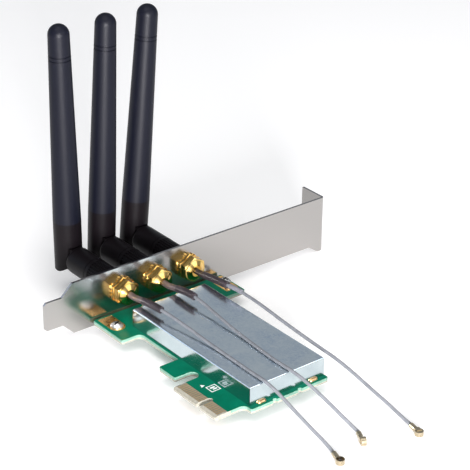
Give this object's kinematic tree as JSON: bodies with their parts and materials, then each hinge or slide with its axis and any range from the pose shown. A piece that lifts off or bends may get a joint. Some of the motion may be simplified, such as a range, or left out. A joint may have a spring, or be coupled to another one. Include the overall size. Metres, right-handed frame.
{
  "type": "expansion card",
  "caption": "Full-height expansion card with a slot bracket, a shield can, a short keyed edge connector, folding swivel antennas on bulkhead connectors, and thin cable leads.",
  "frame": {"origin": "on the outer face of the bracket's screw tab, in the middle of the screw notch", "axes": "+X runs from the bracket to the card's far end; +Y runs along the bracket from its tongue to its screw tab; +Z stands up from the board's component side"},
  "size_m": [0.1478, 0.12, 0.0973],
  "materials": {
    "bracket_nickel": "bright nickel-plated steel sheet, soft mirror reflections",
    "board_green": "glossy green solder mask over fibreglass, pale bare edges",
    "contact_gold": "thin gold plating on copper, satin",
    "can_tin": "tin-plated steel sheet, slightly blotchy",
    "solder_tin": "bright solder",
    "screw_nickel": "bright nickel-plated steel",
    "gold_plate": "polished gold plating on brass",
    "insulator": "white fluoropolymer",
    "ferrule_brass": "plain turned brass",
    "shrink_tube": "dark brown-grey heat-shrink tube, half matte",
    "cable_jacket": "grey fluoropolymer cable jacket, smooth",
    "plug_gold": "pale gold plating",
    "plug_core_dark": "dark insulator",
    "antenna_black": "matte black moulded plastic"
  },
  "bodies": {
    "card": {"mounting_bracket": "bracket_nickel", "circuit_board": "board_green", "edge_contacts": "contact_gold", "ground_pads": "contact_gold", "shield_can": "can_tin", "solder_joints": "solder_tin", "board_screw_1": "screw_nickel", "board_screw_2": "screw_nickel", "connector_body_1": "gold_plate", "connector_body_2": "gold_plate", "connector_body_3": "gold_plate", "connector_insulator_1": "insulator", "connector_insulator_2": "insulator", "connector_insulator_3": "insulator", "star_washer_1": "gold_plate", "star_washer_2": "gold_plate", "star_washer_3": "gold_plate", "panel_nut_1": "gold_plate", "panel_nut_2": "gold_plate", "panel_nut_3": "gold_plate", "crimp_ferrule_1": "ferrule_brass", "crimp_ferrule_2": "ferrule_brass", "crimp_ferrule_3": "ferrule_brass", "shrink_sleeve_1": "shrink_tube", "shrink_sleeve_2": "shrink_tube", "shrink_sleeve_3": "shrink_tube", "coax_cable_1": "cable_jacket", "coax_cable_2": "cable_jacket", "coax_cable_3": "cable_jacket", "cable_plug_1": "plug_gold", "cable_plug_2": "plug_gold", "cable_plug_3": "plug_gold", "plug_insulator_1": "plug_core_dark", "plug_insulator_2": "plug_core_dark", "plug_insulator_3": "plug_core_dark", "coupling_nut_1": "ferrule_brass", "coupling_nut_2": "ferrule_brass", "coupling_nut_3": "ferrule_brass", "plug_core_1": "ferrule_brass", "plug_core_2": "ferrule_brass", "plug_core_3": "ferrule_brass", "knurled_sleeve_1": "antenna_black", "knurled_sleeve_2": "antenna_black", "knurled_sleeve_3": "antenna_black"},
    "knuckle_1": {"antenna_knuckle_1": "antenna_black"},
    "whip_1": {"antenna_elbow_1": "antenna_black", "antenna_cover_1": "antenna_black"},
    "knuckle_2": {"antenna_knuckle_2": "antenna_black"},
    "whip_2": {"antenna_elbow_2": "antenna_black", "antenna_cover_2": "antenna_black"},
    "knuckle_3": {"antenna_knuckle_3": "antenna_black"},
    "whip_3": {"antenna_elbow_3": "antenna_black", "antenna_cover_3": "antenna_black"}
  },
  "joints": [
    {"name": "swivel_1", "type": "hinge", "parent": "card", "child": "knuckle_1", "pos_m": [-0.01, -0.09002, 0.0104], "axis": [1, 0, 0], "range_deg": [-7, 180]},
    {"name": "fold_1", "type": "hinge", "parent": "knuckle_1", "child": "whip_1", "pos_m": [-0.02521, -0.09002, 0.0104], "axis": [0, -1, -0.0087], "range_deg": [0, 90]},
    {"name": "swivel_2", "type": "hinge", "parent": "card", "child": "knuckle_2", "pos_m": [-0.01, -0.07622, 0.0104], "axis": [1, 0, 0], "range_deg": [-6, 7]},
    {"name": "fold_2", "type": "hinge", "parent": "knuckle_2", "child": "whip_2", "pos_m": [-0.02521, -0.07622, 0.0104], "axis": [0, -0.9988, 0.0489], "range_deg": [0, 90]},
    {"name": "swivel_3", "type": "hinge", "parent": "card", "child": "knuckle_3", "pos_m": [-0.01, -0.06242, 0.0104], "axis": [1, 0, 0], "range_deg": [-180, 6]},
    {"name": "fold_3", "type": "hinge", "parent": "knuckle_3", "child": "whip_3", "pos_m": [-0.02521, -0.06242, 0.0104], "axis": [0, -0.996, 0.0889], "range_deg": [0, 90]}
  ]
}
